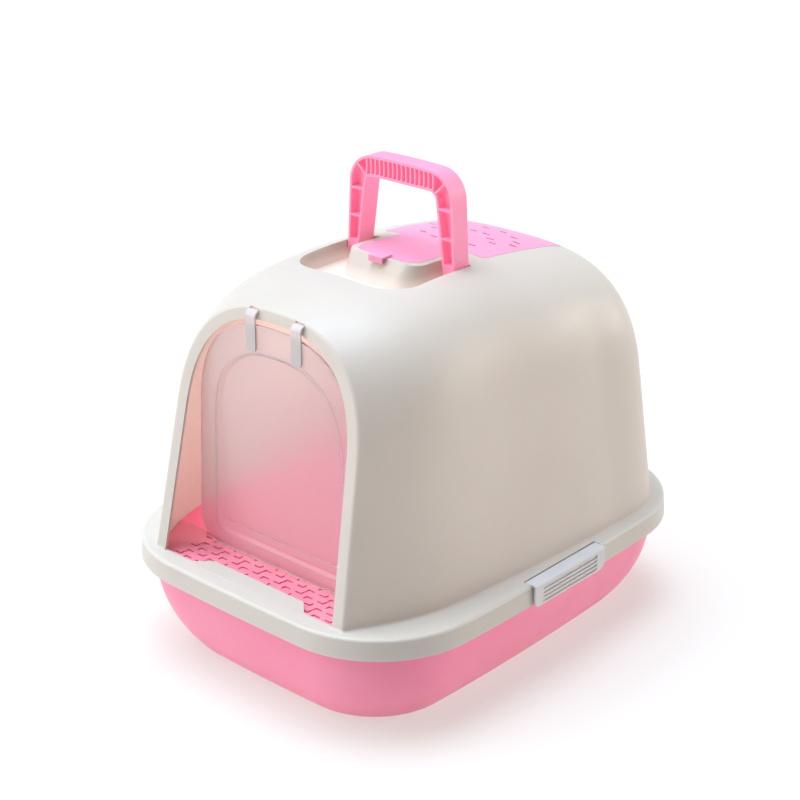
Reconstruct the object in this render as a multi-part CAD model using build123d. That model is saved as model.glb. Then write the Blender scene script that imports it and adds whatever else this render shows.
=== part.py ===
from build123d import *
import math
import os

# Hooded cat litter box. Units mm, +Z up, the entrance faces -Y, origin under the middle of the pan.

# ---- driving dimensions ----
RIM_HALF_W = 207.35
RIM_HALF_L = 260.0
RIM_CORNER = 116.0
BOW_SIDE = 7.5
BOW_END = 5.0
SKIRT_BOTTOM = 96.25
RIM_TOP = 117.8
RIM_T = 3.0
SKIRT_T = 2.5
SKIRT_DRAFT = 1.5
SKIRT_ROUND = 3.2
BAND_ROUND = 4.0
REAR_ROUND = 10.0
FOOT_ROUND = 3.0
WALL = 2.6

FRONT_Y = -239.6
FRONT_LEAN = 0.198
BAND_SIDE = 13.6
BAND_TOP = 12.0
BAND_T = 2.8
ARCH_HALF_W = 130.4
ARCH_TOP = 388.5
ARCH_POWER = 2.6
ARCH_RISE = 122.4
ARCH_SPLAY = 0.053

SILL_TONGUE_HALF = 62.0
SILL_TONGUE_FLARE = 77.0
SILL_TONGUE_Y = -222.0
SILL_BASE_Y = -236.0

# dome stations: foot y of the section plane, half width at the rim
DOME_WIDTHS = [
    (FRONT_Y, ARCH_HALF_W),
    (-215.0, 144.0),
    (-180.0, 161.6),
    (-130.0, 174.6),
    (-60.0, 182.2),
    (20.0, 187.8),
    (90.0, 190.6),
]
DOME_CREST_Y = -49.0
DOME_CREST_Z = 407.0
DOME_CREST_BOW = 0.00047
DOME_SPLAY = 0.148
DOME_LEAN_END_Y = -20.0
REAR_START_Y = 150.0
REAR_END_Y = 238.0
REAR_HALF_W = 191.0
REAR_CORNER_W = 118.0
REAR_DROP = 58.0
REAR_LEAN = -0.03

PAN_FLOOR = 2.8
PAN_WALL = 2.8
PAN_LIP_TOP = 111.5
PAN_LIP_T = 2.8
PAN_EDGE_BOTTOM = 96.3
PAN_EDGE_T = 2.4
PAN_STATIONS = (7.0, 15.0, 25.0, 37.0, 51.0, 66.0, 81.0, PAN_EDGE_BOTTOM)
PAN_BASE_HALF_W = 156.0
PAN_BASE_HALF_L = 213.0
PAN_MOUTH_HALF_W = 192.5
PAN_MOUTH_HALF_L = 245.5
PAN_BASE_CORNER = 82.0
PAN_MOUTH_CORNER = 100.0
PAN_FLARE = 2.4

GRATE_T = 2.6
GRATE_REAR_Y = -178.0
GRATE_FRONT_Y = -246.5

TRENCH_HALF_W = 73.0
TRENCH_FRONT_CORNER = 39.0
TRENCH_FRONT_Y = -105.0
TRENCH_REAR_Y = 10.0
TRENCH_FLOOR = 382.0
TRENCH_T = 2.5
ISLAND_HALF_W = 47.5
ISLAND_FRONT_Y = -44.0
ISLAND_CORNER = 17.0
ISLAND_TOP = 406.0
ISLAND_FOOT_HALF_W = 50.0
ISLAND_FOOT_FRONT_Y = -57.0
ISLAND_FOOT_CORNER = 26.0

HANDLE_Y = -3.0
HANDLE_Z = 396.5
HANDLE_DEPTH = 22.0
HANDLE_TOP = 496.5
GRIP_UNDER = 475.0
LEG_OUT_BASE = 71.0
LEG_OUT_TOP = 66.0
LEG_IN_BASE = 56.5
LEG_IN_TOP = 45.5
HANDLE_WALL = 2.6
HANDLE_WEB = 6.0
LEG_RIBS = (430.0, 459.0)
GRIP_FINS = 16
GRIP_FIN_PITCH = 5.8
PIVOT_R = 2.6
PIVOT_GAP = 0.1
PIVOT_LEN = 5.0
PIVOT_BORE = 4.4

LID_FRONT_Y = -39.0
LID_STEP_Y = 36.0
LID_REAR_Y = 162.0
LID_NECK_HALF = 40.0
LID_HALF_W = 66.5
LID_T = 2.2
LID_SEAT = 2.6
LID_GAP = 0.6
LID_REAR_GAP = 2.2
LID_HINGE_Y = 156.0
LID_HINGE_Z = 379.2
LID_PIN_R = 1.4
LID_PIN_GAP = 0.08
LID_KNUCKLE_R = 3.0
LID_KNUCKLE_X = 44.0
LID_KNUCKLE_W = 8.0
LID_SLITS = [
    (12, 52), (33, 59), (8.5, 72), (39, 84), (25.8, 96),
    (54, 99), (8.5, 111), (48, 112), (33.5, 126), (12, 136),
]

WELL_HALF_W = 55.0
WELL_FRONT_Y = 44.0
WELL_REAR_Y = 146.0
WELL_FLOOR = 362.0
WELL_T = 2.0
PAD_T = 10.0

HOOK_X = 30.4
HOOK_W = 12.8
HOOK_Y = -186.6
HOOK_Z = 377.9
HOOK_R_IN = 4.3
HOOK_R_OUT = 6.2
STRAP_BOTTOM = 343.0
HOOK_SLOT_TOP = 386.2
DOOR_T = 1.7
DOOR_GAP = 2.6
DOOR_BOTTOM = 117.0
DOOR_CORNER = 24.0
DOOR_TOP_GAP = 4.6
EMBOSS = 3.0
EMBOSS_INSET = 21.0
EMBOSS_TOP_DROP = 6.0
BEAD_W = 1.6
BEAD_T = 0.8

LATCH_Y = 7.0
LATCH_LEN = 114.0
LATCH_AXIS_X = 197.5
LATCH_AXIS_Z = 115.6
LATCH_PIN_R = 1.2
LATCH_PIN_GAP = 0.06
LATCH_PIN_LEN = 3.5
LATCH_TOP = 117.6
LATCH_FACE_X = 207.8
LATCH_T = 2.2
LATCH_BOTTOM = 93.2
LATCH_TOE_X = 204.2
LATCH_TOE_TOP = 95.2


def box(x0, x1, y0, y1, z0, z1):
    """Axis-aligned block between two corners."""
    size = (x1 - x0, y1 - y0, z1 - z0)
    return Pos((x0 + x1) / 2, (y0 + y1) / 2, (z0 + z1) / 2) * Box(*size)


def outline(half_w, half_l, corner, z, shrink=0.0):
    """Rounded rectangle with gently bowed sides, as a face at height z."""
    cx = half_w - BOW_SIDE - shrink
    cy = half_l - BOW_END - shrink
    right = ThreePointArc((cx, -cy), (cx + BOW_SIDE, 0), (cx, cy))
    rear = ThreePointArc((cx, cy), (0, cy + BOW_END), (-cx, cy))
    left = ThreePointArc((-cx, cy), (-cx - BOW_SIDE, 0), (-cx, -cy))
    front = ThreePointArc((-cx, -cy), (0, -cy - BOW_END), (cx, -cy))
    face = make_face(Wire([right, rear, left, front]))
    face = fillet(face.vertices(), corner - shrink)
    return Pos(0, 0, z) * face


def ring(outer_shrink, inner_shrink, z0, z1):
    """Upright band that follows the rim outline."""
    outer = extrude(outline(RIM_HALF_W, RIM_HALF_L, RIM_CORNER, z0, outer_shrink), z1 - z0)
    inner = extrude(outline(RIM_HALF_W, RIM_HALF_L, RIM_CORNER, z0, inner_shrink), z1 - z0)
    return outer - inner


def arch_face(foot_y, lean, half_w, top, power, splay, rise, z_base):
    """Arch-shaped face in a plane through the rim line that leans back with height."""
    spring = top - rise
    points = []
    for i in range(6):
        z = z_base + (spring - z_base) * i / 6
        points.append((half_w - splay * (z - RIM_TOP), z))
    for i in range(16):
        a = math.pi / 2 * i / 15
        z = spring + rise * math.sin(a) ** (2 / power)
        round_off = math.cos(a) ** (2 / power) if i < 15 else 0.0
        points.append(((half_w - splay * (z - RIM_TOP)) * round_off, z))
    full = points + [(-x, z) for x, z in reversed(points[:-1])]
    spatial = [Vector(x, foot_y + lean * (z - RIM_TOP), z) for x, z in full]
    ends = (Vector(-splay, lean, 1), Vector(-splay, -lean, -1))
    return make_face(Wire([Spline(*spatial, tangents=ends), Line(spatial[-1], spatial[0])]))


def crest(y):
    """Height of the dome's top line, before its rear end rounds off."""
    if y < -200:
        t = (y - FRONT_Y) / (-200 - FRONT_Y)
        return ARCH_TOP + (crest(-200) - ARCH_TOP) * t
    return DOME_CREST_Z - DOME_CREST_BOW * (y - DOME_CREST_Y) ** 2


def dome(inset, z_base):
    """Solid of the hood's round body, drawn in by an even wall on every side but the base."""
    faces = []
    for i, (y, w) in enumerate(DOME_WIDTHS):
        j = max(0, i - 1)
        k = min(len(DOME_WIDTHS) - 1, i + 1)
        slope_w = (DOME_WIDTHS[k][1] - DOME_WIDTHS[j][1]) / (DOME_WIDTHS[k][0] - DOME_WIDTHS[j][0])
        slope_t = (crest(y + 5) - crest(y)) / 5
        lean = FRONT_LEAN * max(0, (DOME_LEAN_END_Y - y) / (DOME_LEAN_END_Y - FRONT_Y))
        blend = min(1, (y - FRONT_Y) / 180)
        splay = ARCH_SPLAY + (DOME_SPLAY - ARCH_SPLAY) * blend
        power = ARCH_POWER + 0.5 * blend
        step = BAND_T if i == 0 and inset > 0 else 0
        half_w = w + slope_w * step - inset * math.hypot(1, slope_w)
        top = crest(y + step) - inset * math.hypot(1, slope_t)
        faces.append(arch_face(y + step, lean, half_w, top, power, splay, ARCH_RISE, z_base))
    depth = REAR_END_Y - REAR_START_Y - inset
    for s in (0.0, 0.42, 0.7, 0.88, 0.97, 0.995):
        round_off = math.sqrt(1 - s * s)
        y = REAR_START_Y + depth * s
        half_w = REAR_HALF_W - REAR_CORNER_W + (REAR_CORNER_W - inset) * round_off
        top = crest(y) - REAR_DROP + (REAR_DROP - inset) * round_off
        power = 3.05 - 0.2 * s
        faces.append(arch_face(y, REAR_LEAN * s, half_w, top, power, DOME_SPLAY, ARCH_RISE, z_base))
    return loft(faces)


def opening_face(shrink):
    """Doorway outline in the leaning front plane, drawn in by shrink."""
    half_w = ARCH_HALF_W - BAND_SIDE - shrink
    top = ARCH_TOP - BAND_TOP - shrink
    rise = ARCH_RISE - BAND_TOP - shrink
    return arch_face(FRONT_Y, FRONT_LEAN, half_w, top, ARCH_POWER, ARCH_SPLAY, rise, RIM_TOP)


def lid_face(grow, z):
    """Plan of the vent lid: a narrow tongue in front, a wide panel behind."""
    n = LID_NECK_HALF + grow
    w = LID_HALF_W + grow
    f = LID_FRONT_Y - grow
    s = LID_STEP_Y - grow
    r = LID_REAR_Y + grow
    neck = Pos(0, (f + s + 20) / 2, z) * RectangleRounded(2 * n, s + 20 - f, 16 + grow)
    wide = Pos(0, (s + r) / 2, z) * RectangleRounded(2 * w, r - s, 6 + grow)
    return neck + wide


# ---- litter pan ----
def pan_section(z, thick):
    """Outline of the pan wall at height z, drawn in by the wall thickness."""
    s = min(z / PAN_EDGE_BOTTOM, 1)
    k = 1 - (1 - s) ** PAN_FLARE
    w = PAN_BASE_HALF_W + (PAN_MOUTH_HALF_W - PAN_BASE_HALF_W) * k
    half_l = PAN_BASE_HALF_L + (PAN_MOUTH_HALF_L - PAN_BASE_HALF_L) * k
    corner = PAN_BASE_CORNER + (PAN_MOUTH_CORNER - PAN_BASE_CORNER) * k
    if z < 2:
        w -= 2
        half_l -= 2
        corner -= 2
    return outline(w, half_l, corner, z, thick)


pan_outer = loft([pan_section(z, 0) for z in (0, 2, *PAN_STATIONS)])
pan_outer += extrude(pan_section(PAN_EDGE_BOTTOM, 0), PAN_LIP_TOP - PAN_EDGE_BOTTOM)
pan_inner = loft([pan_section(z, PAN_WALL) for z in (PAN_FLOOR, *PAN_STATIONS)])
pan_inner += extrude(pan_section(PAN_EDGE_BOTTOM, PAN_WALL), PAN_LIP_TOP + 1 - PAN_EDGE_BOTTOM)
lip_shrink = RIM_HALF_W - 203.85
lip = ring(lip_shrink, RIM_HALF_W - PAN_MOUTH_HALF_W + 1.2, PAN_LIP_TOP - PAN_LIP_T, PAN_LIP_TOP)
edge = ring(lip_shrink, lip_shrink + PAN_EDGE_T, PAN_EDGE_BOTTOM, PAN_LIP_TOP)
pan = pan_outer + lip + edge - pan_inner


# ---- entry grate: perforated step plate resting on the pan lip ----
grate_plan = outline(RIM_HALF_W, RIM_HALF_L, RIM_CORNER, PAN_LIP_TOP, RIM_HALF_W - 199.4)
grate_top = PAN_LIP_TOP + GRATE_T
grate_zone = box(-200, 200, GRATE_FRONT_Y, GRATE_REAR_Y, PAN_LIP_TOP - 1, grate_top + 3)
grate = extrude(grate_plan, GRATE_T) & grate_zone
rear_apron = box(-172, 172, GRATE_REAR_Y - 2.2, GRATE_REAR_Y, PAN_LIP_TOP - 12, PAN_LIP_TOP + 0.5)
rear_bead = box(-118, 118, GRATE_REAR_Y - 3.2, GRATE_REAR_Y, grate_top - 0.5, grate_top + 1.6)
grate += rear_apron + rear_bead
hook_hole = SlotOverall(9.0, 2.2) + Pos(3.4, 2.0) * SlotOverall(6.5, 2.2, rotation=90)
holes = []
for row in range(5):
    for col in range(15):
        x = (col - 7) * 15.0 + (3.7 if row % 2 else -3.7)
        y = -229.0 + row * 10.6
        holes.append(Pos(x, y, PAN_LIP_TOP) * Rot(0, 0, 180 * ((row + col) % 2)) * hook_hole)
grate -= [extrude(hole, GRATE_T + 1) for hole in holes]

# ---- hood shell ----
plate_bottom = RIM_TOP - RIM_T
body = dome(0, plate_bottom)
face_edge = [e for e in body.edges() if e.length > 300 and e.bounding_box().max.Y < 0]
body = fillet(face_edge, BAND_ROUND)
back_edge = [e for e in body.edges() if e.length > 300 and e.bounding_box().min.Y > 0]
body = fillet(back_edge, REAR_ROUND)
cavity = dome(WALL, plate_bottom - 4)
skirt_outer = loft([
    outline(RIM_HALF_W, RIM_HALF_L, RIM_CORNER, SKIRT_BOTTOM),
    outline(RIM_HALF_W, RIM_HALF_L, RIM_CORNER, RIM_TOP, SKIRT_DRAFT),
])
skirt_outer = fillet(skirt_outer.faces().sort_by(Axis.Z)[-1].edges(), SKIRT_ROUND)
skirt_inner = loft([
    outline(RIM_HALF_W, RIM_HALF_L, RIM_CORNER, SKIRT_BOTTOM - 1, SKIRT_T),
    outline(RIM_HALF_W, RIM_HALF_L, RIM_CORNER, plate_bottom, SKIRT_DRAFT + SKIRT_T - 0.3),
])
hood = skirt_outer + body
foot = [e for e in hood.edges() if abs(e.center().Z - RIM_TOP) < 0.1 and e.bounding_box().size.Z < 0.1]
foot = [e for e in foot if e.bounding_box().max.X < 193 and e.bounding_box().min.X > -193]
foot = [e for e in foot if FRONT_Y + 5 < e.bounding_box().max.Y < RIM_HALF_L - 10]
hood = fillet(foot, FOOT_ROUND)
hood = hood - skirt_inner - cavity
seat_bead = ring(RIM_HALF_W - 203.3, RIM_HALF_W - 200.3, PAN_LIP_TOP + 0.3, plate_bottom + 0.5)
hood += seat_bead

# doorway, with the sill tongue left standing
normal = Vector(0, -1, FRONT_LEAN).normalized()
door_cut = extrude(opening_face(0), amount=16, dir=-normal)
door_cut += extrude(opening_face(0), amount=8, dir=normal)
hood -= door_cut & box(-200, 200, -300, 0, RIM_TOP, 420)
tongue = Polyline(
    (-SILL_TONGUE_FLARE, SILL_BASE_Y - 4), (-SILL_TONGUE_FLARE, SILL_BASE_Y),
    (-SILL_TONGUE_HALF, SILL_TONGUE_Y), (SILL_TONGUE_HALF, SILL_TONGUE_Y),
    (SILL_TONGUE_FLARE, SILL_BASE_Y), (SILL_TONGUE_FLARE, SILL_BASE_Y - 4), close=True)
tongue_face = make_face(tongue)
tongue_face = fillet(tongue_face.vertices().group_by(Axis.Y)[-1], 8)
hood += Pos(0, 0, plate_bottom) * extrude(tongue_face, RIM_T)

# trench that swallows the folded handle, round the sloping island
def island(grow):
    """Island block with walls that spread towards its foot, drawn in by grow."""
    rise = ISLAND_TOP - TRENCH_FLOOR
    faces = []
    for z in (TRENCH_FLOOR - TRENCH_T - 1, ISLAND_TOP + 4):
        t = (z - TRENCH_FLOOR) / rise
        half = ISLAND_FOOT_HALF_W + (ISLAND_HALF_W - ISLAND_FOOT_HALF_W) * t - grow
        front = ISLAND_FOOT_FRONT_Y + (ISLAND_FRONT_Y - ISLAND_FOOT_FRONT_Y) * t + grow
        corner = ISLAND_FOOT_CORNER + (ISLAND_CORNER - ISLAND_FOOT_CORNER) * t - grow
        faces.append(Pos(0, (front + 75) / 2, z) * RectangleRounded(2 * half, 75 - front, corner))
    return loft(faces)


def trench(grow):
    """Handle trench as a solid, widened and deepened by grow."""
    w = TRENCH_HALF_W + grow
    y0 = TRENCH_FRONT_Y - grow
    y1 = TRENCH_REAR_Y + grow
    plan = Pos(0, (y0 + y1) / 2) * RectangleRounded(2 * w, y1 - y0, 2.5 + grow)
    front_round = Pos(0, y0 + 50) * RectangleRounded(2 * w, 100, TRENCH_FRONT_CORNER + grow)
    plan = (plan & Pos(0, y0 + 100) * Rectangle(2 * w, 110)) + front_round
    return extrude(Pos(0, 0, TRENCH_FLOOR - grow) * plan, 40) - island(grow)


trench_hollow = trench(0)
hood += trench(TRENCH_T) & body
hood -= trench_hollow
pivot_boss_r = PIVOT_R + 3.0
pivot_axis = Pos(0, HANDLE_Y, HANDLE_Z) * Rot(0, 90, 0)
for side in (-1, 1):
    boss = Pos(side * (TRENCH_HALF_W + 4), 0, 0) * pivot_axis * Cylinder(pivot_boss_r, 8)
    boss &= body
    x_bore = side * (TRENCH_HALF_W + PIVOT_BORE / 2)
    bore = Pos(x_bore, 0, 0) * pivot_axis * Cylinder(PIVOT_R + PIVOT_GAP, PIVOT_BORE)
    hood += boss
    hood -= bore

# seat, opening and filter well under the vent lid
seat_bottom = dome(LID_SEAT + 2.8, plate_bottom)
pocket_bottom = dome(LID_SEAT, plate_bottom)
seat_frame = extrude(lid_face(3.5, 340), 80) & body
hood += seat_frame - seat_bottom - trench_hollow
pocket = extrude(lid_face(LID_GAP, 340), 80)
hood -= pocket - pocket_bottom
well_mid = (WELL_FRONT_Y + WELL_REAR_Y) / 2
well_len = WELL_REAR_Y - WELL_FRONT_Y
well_out = Pos(0, well_mid, WELL_FLOOR - WELL_T) * extrude(
    RectangleRounded(2 * (WELL_HALF_W + WELL_T), well_len + 2 * WELL_T, 10), 60)
well_in = Pos(0, well_mid, WELL_FLOOR) * extrude(RectangleRounded(2 * WELL_HALF_W, well_len, 8), 60)
hood += well_out & dome(LID_SEAT + 0.2, plate_bottom)
hood -= well_in
well_slots = []
for i in range(9):
    for side in (-1, 1):
        place = Pos(side * 26.0, WELL_FRONT_Y + 11 + i * 10.0, WELL_FLOOR - WELL_T - 1)
        well_slots.append(place * extrude(SlotOverall(40, 4), WELL_T + 2))
hood -= well_slots

# trough behind the well, where the lid's knuckles turn
trough_y0 = LID_HINGE_Y - 6.0
trough_y1 = LID_REAR_Y + LID_REAR_GAP
trough_half = LID_HALF_W + LID_GAP
trough_floor = LID_HINGE_Z - 5.0
trough_out = box(-trough_half - 2, trough_half + 2, trough_y0 - 2, trough_y1 + 2, trough_floor - 2, 400)
trough_in = box(-trough_half, trough_half, trough_y0, trough_y1, trough_floor, 400)
hood += trough_out & dome(LID_SEAT + 0.2, plate_bottom)
hood -= trough_in
hinge_axis = Pos(0, LID_HINGE_Y, LID_HINGE_Z) * Rot(0, 90, 0)
for side in (-1, 1):
    x_ear = side * (LID_KNUCKLE_X + LID_KNUCKLE_W / 2 + 2.4)
    ear_rear = LID_HINGE_Y + 2.2
    ear_top = LID_HINGE_Z + 2.0
    ear = box(x_ear - 2, x_ear + 2, trough_y0 - 0.5, ear_rear, trough_floor - 0.5, ear_top)
    hood += ear
    hood -= Pos(x_ear, 0, 0) * hinge_axis * Cylinder(LID_PIN_R + LID_PIN_GAP, 6)

# slots in the front band for the door's hooks
hook_axis = Pos(0, HOOK_Y, HOOK_Z) * Rot(0, 90, 0)
for side in (-1, 1):
    width = HOOK_W + 0.8
    hole = Cylinder(HOOK_R_OUT + 0.35, width) - Cylinder(HOOK_R_IN - 0.35, width)
    hood -= Pos(side * HOOK_X, 0, 0) * hook_axis * hole
    x_mid = side * HOOK_X
    slot = box(x_mid - 5.4, x_mid + 5.4, HOOK_Y - 6, HOOK_Y + 8, HOOK_Z + 5, HOOK_SLOT_TOP)
    hood -= slot

# rim pockets, hinge blocks and skirt notches for the side latches
latch_y0 = LATCH_Y - LATCH_LEN / 2
latch_y1 = LATCH_Y + LATCH_LEN / 2
latch_axis = Pos(LATCH_AXIS_X, 0, LATCH_AXIS_Z) * Rot(90, 0, 0)
pocket_tool = box(LATCH_AXIS_X - 2.6, 220, latch_y0 - 0.6, latch_y1 + 0.6, plate_bottom - 0.6, 125)
notch_tool = box(203, 220, latch_y0 + 6, latch_y1 - 6, 85, 99)
blocks = box(194.4, 200.2, latch_y0 - 6.6, latch_y0 - 0.6, PAN_LIP_TOP + 0.3, plate_bottom + 0.5)
blocks += box(194.4, 200.2, latch_y1 + 0.6, latch_y1 + 6.6, PAN_LIP_TOP + 0.3, plate_bottom + 0.5)
pin_hole = Pos(0, LATCH_Y, 0) * latch_axis * Cylinder(LATCH_PIN_R + LATCH_PIN_GAP, LATCH_LEN + 9)
hood += blocks + mirror(blocks, Plane.YZ)
latch_cut = pocket_tool + notch_tool + pin_hole
hood -= latch_cut
hood -= mirror(latch_cut, Plane.YZ)

# ---- carry handle ----
handle_outer = make_face(Wire([
    Line((-LEG_OUT_BASE, HANDLE_Z), (LEG_OUT_BASE, HANDLE_Z)),
    Line((LEG_OUT_BASE, HANDLE_Z), (LEG_OUT_TOP, HANDLE_TOP - 2.5)),
    ThreePointArc((LEG_OUT_TOP, HANDLE_TOP - 2.5), (0, HANDLE_TOP), (-LEG_OUT_TOP, HANDLE_TOP - 2.5)),
    Line((-LEG_OUT_TOP, HANDLE_TOP - 2.5), (-LEG_OUT_BASE, HANDLE_Z)),
]))
handle_outer = fillet(handle_outer.vertices().group_by(Axis.Y)[-1], 30)
handle_inner = make_face(Polyline(
    (-LEG_IN_BASE, HANDLE_Z), (LEG_IN_BASE, HANDLE_Z),
    (LEG_IN_TOP, GRIP_UNDER), (-LEG_IN_TOP, GRIP_UNDER), close=True))
handle_inner = fillet(handle_inner.vertices().group_by(Axis.Y)[-1], 9)
to_front = Plane.XZ.offset(-HANDLE_Y - HANDLE_DEPTH / 2)
handle = extrude(to_front * (handle_outer - handle_inner), HANDLE_DEPTH)
end_mid = (LEG_OUT_BASE + LEG_IN_BASE) / 2
end_len = LEG_OUT_BASE - LEG_IN_BASE
for side in (-1, 1):
    handle += Pos(side * end_mid, 0, 0) * pivot_axis * Cylinder(HANDLE_DEPTH / 2, end_len)
    handle += Pos(side * (LEG_OUT_BASE + PIVOT_LEN / 2), 0, 0) * pivot_axis * Cylinder(PIVOT_R, PIVOT_LEN)
channel = offset(handle_outer, -HANDLE_WALL) - offset(handle_inner, HANDLE_WALL)
channel -= Pos(0, HANDLE_Z) * Rectangle(300, 16)
ribs = Sketch()
for side in (-1, 1):
    for z in LEG_RIBS:
        ribs += Pos(side * 59.5, z) * Rectangle(26, 2)
    ribs += Pos(side * 53.5, 482.0) * Rot(0, 0, side * 45) * Rectangle(30, 2)
for i in range(GRIP_FINS):
    fin = ThreePointArc((0, GRIP_UNDER - 2), (1.2, GRIP_UNDER + 11), (0, HANDLE_TOP + 1))
    ribs += Pos(GRIP_FIN_PITCH * (i - GRIP_FINS / 2), 0) * make_face(Wire([
        fin, Line(fin @ 1, (fin @ 1) + Vector(1.8, 0)),
        ThreePointArc((1.8, HANDLE_TOP + 1), (3.0, GRIP_UNDER + 11), (1.8, GRIP_UNDER - 2)),
        Line((1.8, GRIP_UNDER - 2), (0, GRIP_UNDER - 2))]))
channel -= ribs
depth = (HANDLE_DEPTH - HANDLE_WEB) / 2
front_cut = extrude(Plane.XZ.offset(-HANDLE_Y + HANDLE_DEPTH / 2) * channel, -depth)
rear_cut = extrude(Plane.XZ.offset(-HANDLE_Y - HANDLE_DEPTH / 2) * channel, depth)
handle = handle - front_cut - rear_cut

# ---- vent lid ----
lid = (extrude(lid_face(0, 340), 80) & body) - dome(LID_T, plate_bottom)
tab_top = crest(LID_FRONT_Y)
tab = box(-9, 9, ISLAND_FRONT_Y - 6.6, LID_FRONT_Y + 4, tab_top + 0.3, tab_top + 2.3)
tab += box(-9, 9, LID_FRONT_Y + 2, LID_FRONT_Y + 4, tab_top - 1.5, tab_top + 2.3)
tab += box(-9, 9, ISLAND_FRONT_Y - 6.6, ISLAND_FRONT_Y - 4.9, tab_top - 4, tab_top + 2.3)
lid += tab
for side in (-1, 1):
    lug = Pos(side * LID_KNUCKLE_X, 0, 0) * hinge_axis * Cylinder(LID_KNUCKLE_R, LID_KNUCKLE_W)
    x_lug = side * LID_KNUCKLE_X
    half = LID_KNUCKLE_W / 2
    web = box(x_lug - half, x_lug + half, LID_HINGE_Y - 3, LID_HINGE_Y + 3, LID_HINGE_Z, LID_HINGE_Z + 8)
    lid += lug + (web & dome(0.8, plate_bottom))
    pin_mid = side * (LID_KNUCKLE_X + LID_KNUCKLE_W / 2 + 2.0)
    lid += Pos(pin_mid, 0, 0) * hinge_axis * Cylinder(LID_PIN_R, 4.4)
slit = extrude(SlotOverall(10.0, 3.0), 60)
slits = []
for x, y in LID_SLITS:
    for side in (-1, 1):
        slits.append(Pos(side * x, y, 360) * slit)
lid -= slits

# ---- carbon filter pad ----
pad = Pos(0, well_mid, WELL_FLOOR) * extrude(RectangleRounded(2 * WELL_HALF_W - 2, well_len - 2, 7), PAD_T)

# ---- swinging door: flat border, tray-like middle ----
stretch = math.hypot(1, FRONT_LEAN)
door_y = HOOK_Y - HOOK_R_IN


def door_outline(inset, y, bottom, drop=0.0):
    """Doorway shape as it passes the leaning frame, drawn in, standing in an upright plane."""
    top = HOOK_Z - (HOOK_Z - (ARCH_TOP - BAND_TOP - DOOR_TOP_GAP)) * stretch - inset - drop
    rise = (ARCH_RISE - BAND_TOP - DOOR_TOP_GAP) * stretch - inset
    half_w = ARCH_HALF_W - BAND_SIDE - DOOR_GAP - inset
    face = arch_face(y, 0, half_w, top, ARCH_POWER, ARCH_SPLAY / stretch, rise, bottom)
    low = [v for v in face.vertices() if v.Z < bottom + 1]
    return fillet(low, DOOR_CORNER if inset == 0 else 14)


panel = extrude(door_outline(0, door_y, DOOR_BOTTOM), amount=DOOR_T, dir=(0, 1, 0))
drop = EMBOSS_TOP_DROP
tray_out = loft([
    door_outline(EMBOSS_INSET, door_y, DOOR_BOTTOM + 14, drop),
    door_outline(EMBOSS_INSET + 4, door_y + EMBOSS + DOOR_T, DOOR_BOTTOM + 18, drop),
])
tray_in = loft([
    door_outline(EMBOSS_INSET + 1.5, door_y - 0.4, DOOR_BOTTOM + 15.5, drop),
    door_outline(EMBOSS_INSET + 5.2, door_y + EMBOSS, DOOR_BOTTOM + 19.2, drop),
])
bead_out = door_outline(EMBOSS_INSET - BEAD_W, door_y, DOOR_BOTTOM + 14 - BEAD_W, drop)
bead_in = door_outline(EMBOSS_INSET + 0.2, door_y, DOOR_BOTTOM + 14.2, drop)
bead = extrude(bead_out - bead_in, amount=BEAD_T, dir=(0, -1, 0))
edge_in = door_outline(BEAD_W, door_y, DOOR_BOTTOM + BEAD_W)
edge_bead = extrude(door_outline(0, door_y, DOOR_BOTTOM) - edge_in, amount=BEAD_T, dir=(0, -1, 0))
beads = bead + edge_bead
for side in (-1, 1):
    half = HOOK_W / 2 + 0.4
    x_mid = side * HOOK_X
    beads -= box(x_mid - half, x_mid + half, door_y - 3, door_y, STRAP_BOTTOM - 0.6, HOOK_Z)
door = panel + tray_out - tray_in + beads
groove = box(-84, 84, door_y + EMBOSS - 1.6, door_y + EMBOSS + 0.2, DOOR_BOTTOM + 24, DOOR_BOTTOM + 30)
door += groove

# ---- door hooks: strap on the door, open ring through the band ----
hooks = []
for side in (-1, 1):
    ring_part = Cylinder(HOOK_R_OUT, HOOK_W) - Cylinder(HOOK_R_IN, HOOK_W)
    hook = Pos(side * HOOK_X, 0, 0) * hook_axis * ring_part
    x0 = side * HOOK_X - HOOK_W / 2
    x1 = side * HOOK_X + HOOK_W / 2
    hook -= box(x0 - 1, x1 + 1, HOOK_Y - 8, HOOK_Y + 8, HOOK_Z - 8, HOOK_Z)
    hook -= box(x0 - 1, x1 + 1, HOOK_Y + 2, HOOK_Y + 8, HOOK_Z - 8, HOOK_Z + 2.2)
    strap = box(x0, x1, HOOK_Y - HOOK_R_OUT, HOOK_Y - HOOK_R_IN, STRAP_BOTTOM, HOOK_Z)
    foot_edges = strap.edges().filter_by(Axis.Y).group_by(Axis.Z)[0]
    hook += fillet(foot_edges, 3.5)
    hooks.append(hook)

# ---- side latches ----
x_in = LATCH_AXIS_X
latch = box(x_in, LATCH_FACE_X + LATCH_T, latch_y0, latch_y1, LATCH_TOP - LATCH_T, LATCH_TOP)
latch += box(LATCH_FACE_X, LATCH_FACE_X + LATCH_T, latch_y0, latch_y1, LATCH_BOTTOM, LATCH_TOP)
latch += box(LATCH_TOE_X, LATCH_FACE_X + 0.5, latch_y0 + 8, latch_y1 - 8, LATCH_BOTTOM, LATCH_TOE_TOP)
long_edges = latch.edges().filter_by(Axis.Y)
latch = fillet([e for e in long_edges if e.center().X > x_in + 12 and e.center().Z > LATCH_TOP - 0.1], 2.0)
short_edges = [e for e in latch.edges().filter_by(Axis.X) if e.length < 3]
latch = fillet([e for e in short_edges if e.center().Z < LATCH_BOTTOM + 0.1], 7.0)
latch += Pos(0, LATCH_Y, 0) * latch_axis * Cylinder(LATCH_TOP - LATCH_AXIS_Z - 0.1, LATCH_LEN)
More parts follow.
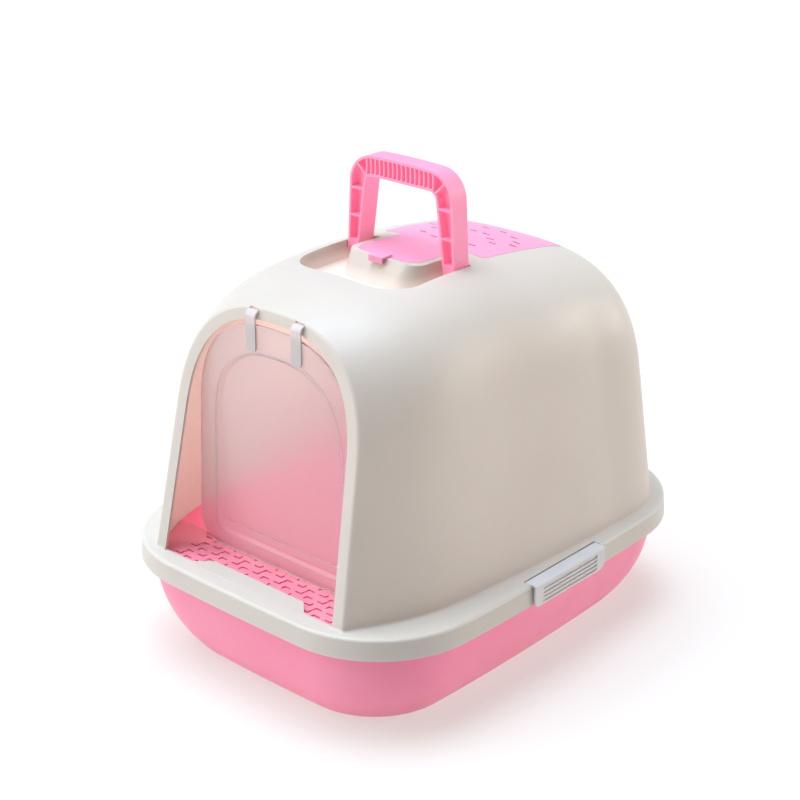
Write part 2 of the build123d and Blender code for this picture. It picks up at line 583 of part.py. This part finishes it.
latch += Pos(0, LATCH_Y, 0) * latch_axis * Cylinder(LATCH_PIN_R, LATCH_LEN + 2 * LATCH_PIN_LEN)
face_x = LATCH_FACE_X + LATCH_T
recess = box(face_x - 1.3, face_x + 1, latch_y0 + 13, latch_y1 - 13, 95.6, 113.0)
for z in (98.2, 102.7, 107.2):
    recess -= box(face_x - 2, face_x - 0.1, latch_y0 + 13, latch_y1 - 13, z, z + 2.0)
latch -= recess

nodes = {
    "litter_pan": pan,
    "entry_grate": grate,
    "hood_shell": hood,
    "carry_handle": handle,
    "vent_lid": lid,
    "filter_pad": pad,
    "swing_door": door,
    "door_hook_left": hooks[0],
    "door_hook_right": hooks[1],
    "latch_right": latch,
    "latch_left": mirror(latch, Plane.YZ),
}
os.makedirs("parts", exist_ok=True)
for name, shape in nodes.items():
    solids = shape.solids()
    print(name, round(shape.volume), len(solids), all(s.is_valid for s in solids))
    export_step(shape, f"parts/{name}.step")
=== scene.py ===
"""Looks for the hooded cat litter box: moulded-plastic materials, soft studio light and the camera."""
import math

import bpy
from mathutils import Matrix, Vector

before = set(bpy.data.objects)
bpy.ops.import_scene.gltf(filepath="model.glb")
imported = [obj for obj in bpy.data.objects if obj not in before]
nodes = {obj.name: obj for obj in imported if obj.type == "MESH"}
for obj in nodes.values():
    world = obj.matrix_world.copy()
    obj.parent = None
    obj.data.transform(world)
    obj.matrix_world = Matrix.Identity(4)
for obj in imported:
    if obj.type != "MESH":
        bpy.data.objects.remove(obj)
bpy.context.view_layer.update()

# ---- handle trench, where the hood wall gets a painted glow (metres, in the hood's own axes) ----
TRENCH_HALF_WIDTH = 0.0735
TRENCH_FRONT, TRENCH_REAR = -0.106, 0.011
TRENCH_GLOW_BOTTOM, TRENCH_GLOW_TOP = 0.3815, 0.3845
EDGE_FADE = 0.001
GLOW_FADE_UP = 0.010
# colour of the painted glow in the trench, which no lamp gives
PAINTED_TRENCH_GLOW = (0.22, 0.165, 0.16, 1.0)

# ---- floor and sky ----
FLOOR_HALF = 60.0
FLOOR_DROP = 0.0004
FLOOR_LIGHT, FLOOR_DARK = (0.40, 0.38, 0.36, 1.0), (0.38, 0.36, 0.34, 1.0)
FLOOR_GLOW, FLOOR_GLOW_LEVEL = (1.0, 0.96, 0.93, 1.0), 0.53
SKY_COLOUR, SKY_LEVEL = (0.97, 0.98, 1.0, 1.0), 0.26
FLAG_SIDE = (0.80, -0.60, 0.0)
FLAG_STARTS, FLAG_FULL = -0.15, 0.6

# ---- camera, as in the photograph ----
AZIMUTH = math.radians(41.847)
ELEVATION = math.radians(23.197)
LENS_MM, SENSOR_MM = 83.2, 36.0
CAMERA_PLACE = (1.16743, -1.31733, 0.99393)


# ---- small node helpers ----
def linear(rgb):
    """sRGB 0-255 to a linear RGBA colour."""
    out = []
    for c in rgb:
        c = c / 255.0
        out.append(c / 12.92 if c <= 0.04045 else ((c + 0.055) / 1.055) ** 2.4)
    return (*out, 1.0)


def new_material(name):
    """A node material with its tree and its Principled shader."""
    mat = bpy.data.materials.new(name)
    mat.use_nodes = True
    tree = mat.node_tree
    return mat, tree, tree.nodes["Principled BSDF"]


def object_coords(tree):
    return tree.nodes.new("ShaderNodeTexCoord").outputs["Object"]


def noise(tree, coords, scale, detail, roughness=0.5):
    node = tree.nodes.new("ShaderNodeTexNoise")
    node.inputs["Scale"].default_value = scale
    node.inputs["Detail"].default_value = detail
    node.inputs["Roughness"].default_value = roughness
    tree.links.new(coords, node.inputs["Vector"])
    return node.outputs["Fac"]


def spread(tree, value, low, high, from_low=0.3, from_high=0.7):
    """Maps from_low..from_high to low..high. Most of a noise lies between 0.3 and 0.7."""
    node = tree.nodes.new("ShaderNodeMapRange")
    node.inputs["From Min"].default_value = from_low
    node.inputs["From Max"].default_value = from_high
    node.inputs["To Min"].default_value = low
    node.inputs["To Max"].default_value = high
    tree.links.new(value, node.inputs["Value"])
    return node.outputs["Result"]


def mix_colour(tree, factor, a, b):
    node = tree.nodes.new("ShaderNodeMix")
    node.data_type = "RGBA"
    tree.links.new(factor, node.inputs["Factor"])
    node.inputs["A"].default_value = a
    node.inputs["B"].default_value = b
    return node.outputs["Result"]


def product(tree, a, b):
    node = tree.nodes.new("ShaderNodeMath")
    node.operation = "MULTIPLY"
    tree.links.new(a, node.inputs[0])
    tree.links.new(b, node.inputs[1])
    return node.outputs["Value"]


def bump(tree, height, distance, strength, below=None):
    node = tree.nodes.new("ShaderNodeBump")
    node.inputs["Distance"].default_value = distance
    node.inputs["Strength"].default_value = strength
    tree.links.new(height, node.inputs["Height"])
    if below is not None:
        tree.links.new(below, node.inputs["Normal"])
    return node.outputs["Normal"]


def band(tree, value, low, high, soft):
    """1 where value lies between low and high, fading to 0 over a millimetre below and over soft above."""
    rise = spread(tree, value, 0.0, 1.0, low - EDGE_FADE, low)
    fall = spread(tree, value, 1.0, 0.0, high, high + soft)
    return product(tree, rise, fall)


# ---- plastics ----
def plastic(name, light, dark, rough, grain, mottle, subsurface, scatter, specular=0.45,
            painted_lift=(0.0, 0.0, 0.0)):
    """Injection-moulded plastic: faint colour drift, satin grain and the slow waviness of a moulded wall.

    scatter is how far red, green and blue light travels inside it, in metres. The last argument is painted
    light: a faint even glow, from no lamp, that brightens the whole part.
    """
    mat, tree, bsdf = new_material(name)
    coords = object_coords(tree)
    drift = spread(tree, noise(tree, coords, mottle, 3.0), 0.0, 1.0)
    tree.links.new(mix_colour(tree, drift, linear(light), linear(dark)), bsdf.inputs["Base Color"])
    sheen_patches = spread(tree, noise(tree, coords, 38.0, 4.0, 0.6), *rough)
    tree.links.new(sheen_patches, bsdf.inputs["Roughness"])
    waves = bump(tree, noise(tree, coords, 16.0, 1.0), 0.0006, 0.25)
    fine = bump(tree, noise(tree, coords, 1500.0, 2.0, 0.7), grain, 0.6, waves)
    tree.links.new(fine, bsdf.inputs["Normal"])
    bsdf.inputs["Specular IOR Level"].default_value = specular
    bsdf.inputs["IOR"].default_value = 1.49
    # painted light: the part glows faintly by itself
    bsdf.inputs["Emission Color"].default_value = (*painted_lift, 1.0)
    bsdf.inputs["Emission Strength"].default_value = 1.0
    bsdf.inputs["Subsurface Weight"].default_value = subsurface
    bsdf.inputs["Subsurface Radius"].default_value = [reach / scatter[0] for reach in scatter]
    bsdf.inputs["Subsurface Scale"].default_value = scatter[0]
    return mat


def frosted(name, tint, deep, transmission, rough):
    """Thin frosted plastic: blurred see-through with a milky body and a fine matt grain."""
    mat, tree, bsdf = new_material(name)
    coords = object_coords(tree)
    drift = spread(tree, noise(tree, coords, 7.0, 3.0), 0.0, 1.0)
    tree.links.new(mix_colour(tree, drift, linear(tint), linear(deep)), bsdf.inputs["Base Color"])
    haze = spread(tree, noise(tree, coords, 30.0, 4.0, 0.6), *rough)
    tree.links.new(haze, bsdf.inputs["Roughness"])
    waves = bump(tree, noise(tree, coords, 22.0, 1.0), 0.0004, 0.2)
    fine = bump(tree, noise(tree, coords, 1800.0, 2.0, 0.7), 0.00004, 0.5, waves)
    tree.links.new(fine, bsdf.inputs["Normal"])
    bsdf.inputs["Transmission Weight"].default_value = transmission
    bsdf.inputs["IOR"].default_value = 1.36
    bsdf.inputs["Specular IOR Level"].default_value = 0.4
    return mat


def foam(name, light, dark):
    """Open-cell carbon foam: dark cells with a pitted surface."""
    mat, tree, bsdf = new_material(name)
    coords = object_coords(tree)
    cells = tree.nodes.new("ShaderNodeTexVoronoi")
    cells.inputs["Scale"].default_value = 620.0
    tree.links.new(coords, cells.inputs["Vector"])
    depth = spread(tree, cells.outputs["Distance"], 0.0, 1.0, 0.0, 0.6)
    tree.links.new(mix_colour(tree, depth, linear(light), linear(dark)), bsdf.inputs["Base Color"])
    dust = spread(tree, noise(tree, coords, 90.0, 4.0), 0.75, 0.95)
    tree.links.new(dust, bsdf.inputs["Roughness"])
    tree.links.new(bump(tree, depth, 0.0006, 0.9), bsdf.inputs["Normal"])
    return mat


def paint_trench_glow(mat):
    """Painted light: a warm glow on the hood inside the handle's trench, standing in for light that the
    thin wall lets through.
    """
    tree = mat.node_tree
    axes = tree.nodes.new("ShaderNodeSeparateXYZ")
    tree.links.new(object_coords(tree), axes.inputs["Vector"])
    across = band(tree, axes.outputs["X"], -TRENCH_HALF_WIDTH, TRENCH_HALF_WIDTH, EDGE_FADE)
    along = band(tree, axes.outputs["Y"], TRENCH_FRONT, TRENCH_REAR, EDGE_FADE)
    up = band(tree, axes.outputs["Z"], TRENCH_GLOW_BOTTOM, TRENCH_GLOW_TOP, GLOW_FADE_UP)
    bsdf = tree.nodes["Principled BSDF"]
    bsdf.inputs["Emission Color"].default_value = PAINTED_TRENCH_GLOW
    tree.links.new(product(tree, product(tree, across, along), up), bsdf.inputs["Emission Strength"])


def finishes():
    """One material for each kind of moulding, by CAD node."""
    hook = frosted("hook_white", (246, 236, 233), (240, 229, 227), 0.35, (0.28, 0.38))
    latch = plastic("latch_grey", (222, 216, 216), (214, 209, 210), rough=(0.34, 0.44), grain=0.00005,
                    mottle=20.0, subsurface=0.08, scatter=(0.006, 0.006, 0.006))
    hood = plastic("hood_white", (213, 203, 192), (208, 198, 187), rough=(0.36, 0.47), grain=0.00005,
                   mottle=6.0, subsurface=0.15, scatter=(0.012, 0.010, 0.008))
    # painted light: the hood glows in the handle trench, with no lamp there
    paint_trench_glow(hood)
    return {
        "litter_pan": plastic(
            "pan_pink", (255, 157, 184), (252, 149, 177), rough=(0.4, 0.54), grain=0.00009,
            mottle=7.0, subsurface=0.12, scatter=(0.01, 0.005, 0.006), specular=0.2),
        "entry_grate": plastic(
            "grate_pink", (255, 150, 171), (252, 138, 162), rough=(0.36, 0.48), grain=0.00006,
            mottle=11.0, subsurface=0.08, scatter=(0.008, 0.004, 0.004)),
        "hood_shell": hood,
        "carry_handle": plastic(
            "handle_pink", (255, 156, 186), (253, 148, 180), rough=(0.32, 0.42), grain=0.00005,
            mottle=14.0, subsurface=0.1, scatter=(0.008, 0.004, 0.005), specular=0.35,
            # painted light: a faint pink glow that brightens the whole handle
            painted_lift=(0.15, 0.05, 0.08)),
        "vent_lid": plastic(
            "lid_pink", (255, 167, 198), (253, 161, 193), rough=(0.3, 0.42), grain=0.00005,
            mottle=12.0, subsurface=0.1, scatter=(0.008, 0.004, 0.005)),
        "filter_pad": foam("filter_black", (58, 58, 60), (14, 14, 15)),
        "swing_door": frosted("door_frosted", (248, 245, 249), (246, 241, 246), 0.85, (0.28, 0.36)),
        "door_hook_left": hook,
        "door_hook_right": hook,
        "latch_right": latch,
        "latch_left": latch,
    }


# ---- floor ----
def lay_floor():
    """A plain pale sheet just under the pan."""
    mesh = bpy.data.meshes.new("floor")
    corners = [(-FLOOR_HALF, -FLOOR_HALF, 0), (FLOOR_HALF, -FLOOR_HALF, 0),
               (FLOOR_HALF, FLOOR_HALF, 0), (-FLOOR_HALF, FLOOR_HALF, 0)]
    mesh.from_pydata(corners, [], [(0, 1, 2, 3)])
    sheet = bpy.data.objects.new("floor", mesh)
    bpy.context.scene.collection.objects.link(sheet)
    sheet.location.z = -FLOOR_DROP
    mat, tree, bsdf = new_material("floor_paper")
    tone = spread(tree, noise(tree, object_coords(tree), 1.3, 2.0), 0.0, 1.0)
    tree.links.new(mix_colour(tree, tone, FLOOR_LIGHT, FLOOR_DARK), bsdf.inputs["Base Color"])
    bsdf.inputs["Roughness"].default_value = 0.9
    bsdf.inputs["Specular IOR Level"].default_value = 0.0
    bsdf.inputs["Emission Color"].default_value = FLOOR_GLOW
    bsdf.inputs["Emission Strength"].default_value = FLOOR_GLOW_LEVEL
    mesh.materials.append(mat)


# ---- light ----
def add_lamp(name, kind, colour):
    """A lamp that the camera doesn't see."""
    data = bpy.data.lights.new(name, kind)
    data.color = colour
    lamp = bpy.data.objects.new(name, data)
    bpy.context.scene.collection.objects.link(lamp)
    lamp.visible_camera = False
    return lamp, data


def soft_sun(name, direction, degrees, level, colour):
    """Broad soft light from one side; level 1 lights a facing surface as a white sky of strength 1 does."""
    lamp, data = add_lamp(name, "SUN", colour)
    data.angle = math.radians(degrees)
    data.energy = level * math.pi
    away = Vector(direction).normalized()
    lamp.location = away * 3.0
    lamp.rotation_mode = "QUATERNION"
    lamp.rotation_quaternion = away.to_track_quat("Z", "Y")


def cabin_light():
    """A weak lamp in the middle of the cabin, for the light that comes through the walls."""
    lamp, data = add_lamp("cabin", "POINT", (1.0, 0.95, 0.94))
    data.energy = 1.05
    data.shadow_soft_size = 0.07
    lamp.location = (0.0, 0.0, 0.25)
    lamp.visible_glossy = False
    lamp.visible_transmission = False


def pale_sky():
    """An even pale sky with a dark flag on the right of the entrance."""
    world = bpy.data.worlds.new("studio")
    world.use_nodes = True
    sky = world.node_tree
    background = sky.nodes["Background"]
    toward = sky.nodes.new("ShaderNodeVectorMath")
    toward.operation = "DOT_PRODUCT"
    toward.inputs[1].default_value = FLAG_SIDE
    sky.links.new(sky.nodes.new("ShaderNodeTexCoord").outputs["Generated"], toward.inputs[0])
    level = spread(sky, toward.outputs["Value"], SKY_LEVEL, 0.0, FLAG_STARTS, FLAG_FULL)
    sky.links.new(level, background.inputs["Strength"])
    background.inputs["Color"].default_value = SKY_COLOUR
    bpy.context.scene.world = world
    bpy.context.scene.view_settings.view_transform = "Standard"


# ---- camera ----
def place_camera():
    """The camera that the photograph's rim, arch and handle give."""
    data = bpy.data.cameras.new("camera")
    data.lens = LENS_MM
    data.sensor_width = SENSOR_MM
    camera = bpy.data.objects.new("camera", data)
    bpy.context.scene.collection.objects.link(camera)
    toward_camera = Vector((math.sin(AZIMUTH) * math.cos(ELEVATION),
                            -math.cos(AZIMUTH) * math.cos(ELEVATION), math.sin(ELEVATION)))
    camera.location = CAMERA_PLACE
    camera.rotation_mode = "QUATERNION"
    camera.rotation_quaternion = (-toward_camera).to_track_quat("-Z", "Y")
    bpy.context.scene.camera = camera


finish = finishes()
for name, node in nodes.items():
    node.data.materials.clear()
    node.data.materials.append(finish[name])
lay_floor()
soft_sun("top", (-0.20, -0.05, 1.0), 52, 1.40, (0.73, 0.86, 1.0))
soft_sun("front", (-0.75, -0.80, 0.40), 50, 0.50, (0.97, 0.98, 1.0))
soft_sun("rear", (0.56, 0.82, 0.10), 40, 0.58, (1.0, 0.94, 0.86))
cabin_light()
pale_sky()
place_camera()
